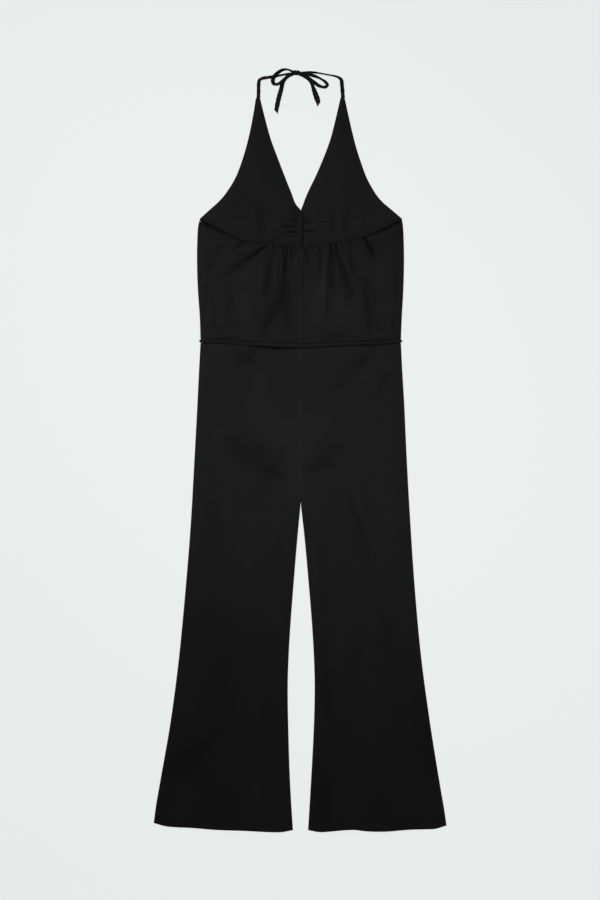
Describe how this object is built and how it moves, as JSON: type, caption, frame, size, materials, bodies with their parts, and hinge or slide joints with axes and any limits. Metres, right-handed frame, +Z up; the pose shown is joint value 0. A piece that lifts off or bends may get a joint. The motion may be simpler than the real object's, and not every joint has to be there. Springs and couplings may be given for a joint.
{
  "type": "halter-neck jumpsuit with flared legs, laid flat",
  "caption": "Black woven halter-neck jumpsuit lying flat and face up: deep V of gathered cups, gathered midriff, narrow belt at the waist, long flared legs and neck ties tied in a bow.",
  "frame": {"origin": "on the surface that it lies on, under the middle of the garment's box without its neck ties and bow", "axes": "+Y from the hems to the neck, +X to the wearer's left, +Z up from the surface, out of the front"},
  "size_m": [0.6137, 1.6023, 0.0104],
  "materials": {
    "cloth_front": "matte black woven crepe",
    "cloth_back": "matte black woven crepe",
    "belt": "folded band of the same black cloth",
    "ties": "narrow turned ties of the same black cloth"
  },
  "bodies": {
    "root": {"cup_right": "cloth_front", "cup_left": "cloth_front", "midriff_front_right": "cloth_front", "midriff_front_left": "cloth_front", "trouser_front_right": "cloth_front", "trouser_front_left": "cloth_front", "bodice_back_right": "cloth_back", "bodice_back_left": "cloth_back", "trouser_back_right": "cloth_back", "trouser_back_left": "cloth_back", "belt_front": "belt", "belt_back": "belt", "neck_tie_right": "ties", "neck_tie_left": "ties", "bow_knot": "ties", "bow_loop_right": "ties", "bow_loop_left": "ties", "bow_tail_right": "ties", "bow_tail_left": "ties"}
  },
  "joints": []
}
